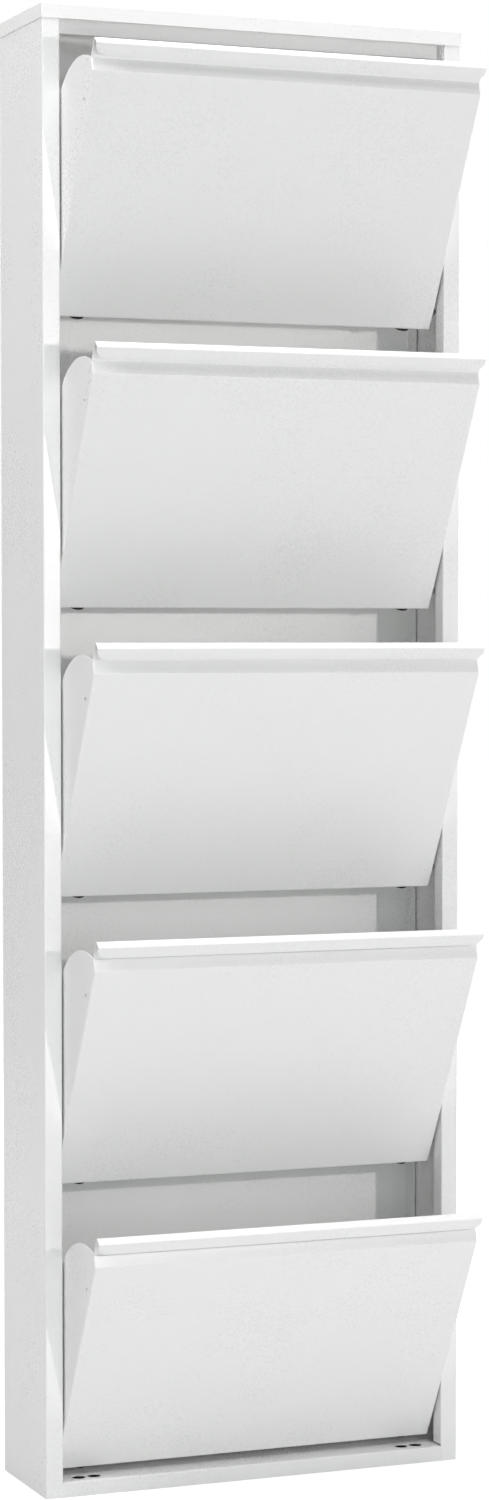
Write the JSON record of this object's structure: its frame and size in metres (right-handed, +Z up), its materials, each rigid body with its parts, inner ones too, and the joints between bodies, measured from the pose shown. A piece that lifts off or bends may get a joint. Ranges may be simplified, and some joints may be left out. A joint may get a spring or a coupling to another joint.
{
  "type": "shoe cabinet",
  "caption": "Slim wall-side sheet-steel shoe cabinet: a folded carcass with tilt-out flaps, each a pocket with a lipped handle, turning on pins and resting open on stops.",
  "frame": {"origin": "on the floor, in the middle of the box that holds the cabinet with its flaps open", "axes": "+X to the right seen from the front, +Y towards the wall behind, +Z up"},
  "size_m": [0.5, 0.262, 1.63],
  "materials": {
    "powder_coat": "white powder coat, satin, fine orange-peel texture",
    "steel": "zinc-plated, satin",
    "rubber": "matt black",
    "nylon": "natural white nylon, matt"
  },
  "bodies": {
    "carcass": {"side_left": "powder_coat", "side_right": "powder_coat", "top_cap": "powder_coat", "bottom_tray": "powder_coat", "front_rail": "powder_coat", "back_panel": "powder_coat", "hinge_bushes": "nylon", "rail_rivets": "powder_coat", "tray_rivets": "powder_coat"},
    "flap_1": {"flap_1_shell": "powder_coat", "flap_1_pins": "steel", "flap_1_clips": "steel", "flap_1_stop_studs": "steel", "flap_1_bumpers": "rubber"},
    "flap_2": {"flap_2_shell": "powder_coat", "flap_2_pins": "steel", "flap_2_clips": "steel", "flap_2_stop_studs": "steel", "flap_2_bumpers": "rubber"},
    "flap_3": {"flap_3_shell": "powder_coat", "flap_3_pins": "steel", "flap_3_clips": "steel", "flap_3_stop_studs": "steel", "flap_3_bumpers": "rubber"},
    "flap_4": {"flap_4_shell": "powder_coat", "flap_4_pins": "steel", "flap_4_clips": "steel", "flap_4_stop_studs": "steel", "flap_4_bumpers": "rubber"},
    "flap_5": {"flap_5_shell": "powder_coat", "flap_5_pins": "steel", "flap_5_clips": "steel", "flap_5_stop_studs": "steel", "flap_5_bumpers": "rubber"}
  },
  "joints": [
    {"name": "flap_1_hinge", "type": "hinge", "parent": "carcass", "child": "flap_1", "pos_m": [0, -0.00607, 0.087], "axis": [1, 0, 0], "range_deg": [-28, 0]},
    {"name": "flap_2_hinge", "type": "hinge", "parent": "carcass", "child": "flap_2", "pos_m": [0, -0.00607, 0.405], "axis": [1, 0, 0], "range_deg": [-28, 0]},
    {"name": "flap_3_hinge", "type": "hinge", "parent": "carcass", "child": "flap_3", "pos_m": [0, -0.00607, 0.723], "axis": [1, 0, 0], "range_deg": [-28, 0]},
    {"name": "flap_4_hinge", "type": "hinge", "parent": "carcass", "child": "flap_4", "pos_m": [0, -0.00607, 1.041], "axis": [1, 0, 0], "range_deg": [-28, 0]},
    {"name": "flap_5_hinge", "type": "hinge", "parent": "carcass", "child": "flap_5", "pos_m": [0, -0.00607, 1.359], "axis": [1, 0, 0], "range_deg": [-28, 0]}
  ]
}
